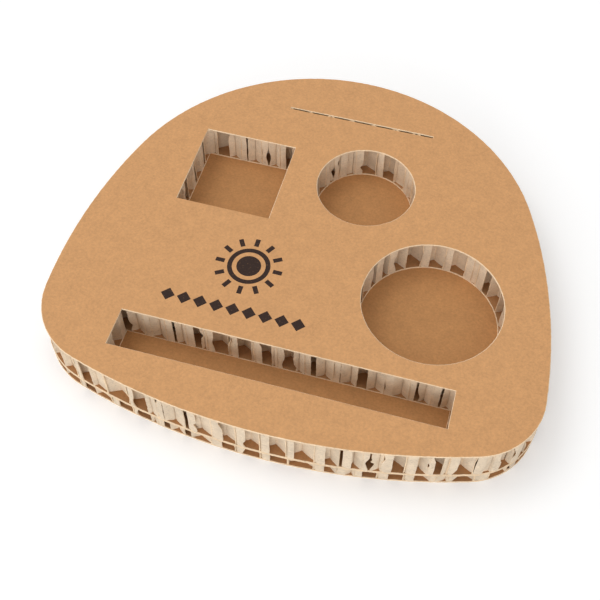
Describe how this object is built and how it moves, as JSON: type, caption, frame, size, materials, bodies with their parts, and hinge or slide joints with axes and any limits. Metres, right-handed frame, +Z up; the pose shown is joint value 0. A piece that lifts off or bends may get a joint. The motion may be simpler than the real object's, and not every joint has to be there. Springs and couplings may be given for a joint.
{
  "type": "cup carrier",
  "caption": "Flat rounded carrier of two glued honeycomb boards, with round cup pockets, a square pocket, a long slot and a card slit in its upper board.",
  "frame": {"origin": "on the table under the middle of the board's bounding box", "axes": "+X along the long slot to the side of the large round pocket, +Y from the slot to the rounded back, +Z up out of the pockets"},
  "size_m": [0.2866, 0.265, 0.032],
  "materials": {
    "liner": "matt brown kraft paper",
    "core": "matt pale grey-brown honeycomb paper, cut and slightly torn"
  },
  "bodies": {
    "root": {"top_liner": "liner", "pocket_core": "core", "pocket_lower_liner": "liner", "base_upper_liner": "liner", "base_core": "core", "base_liner": "liner"}
  },
  "joints": []
}
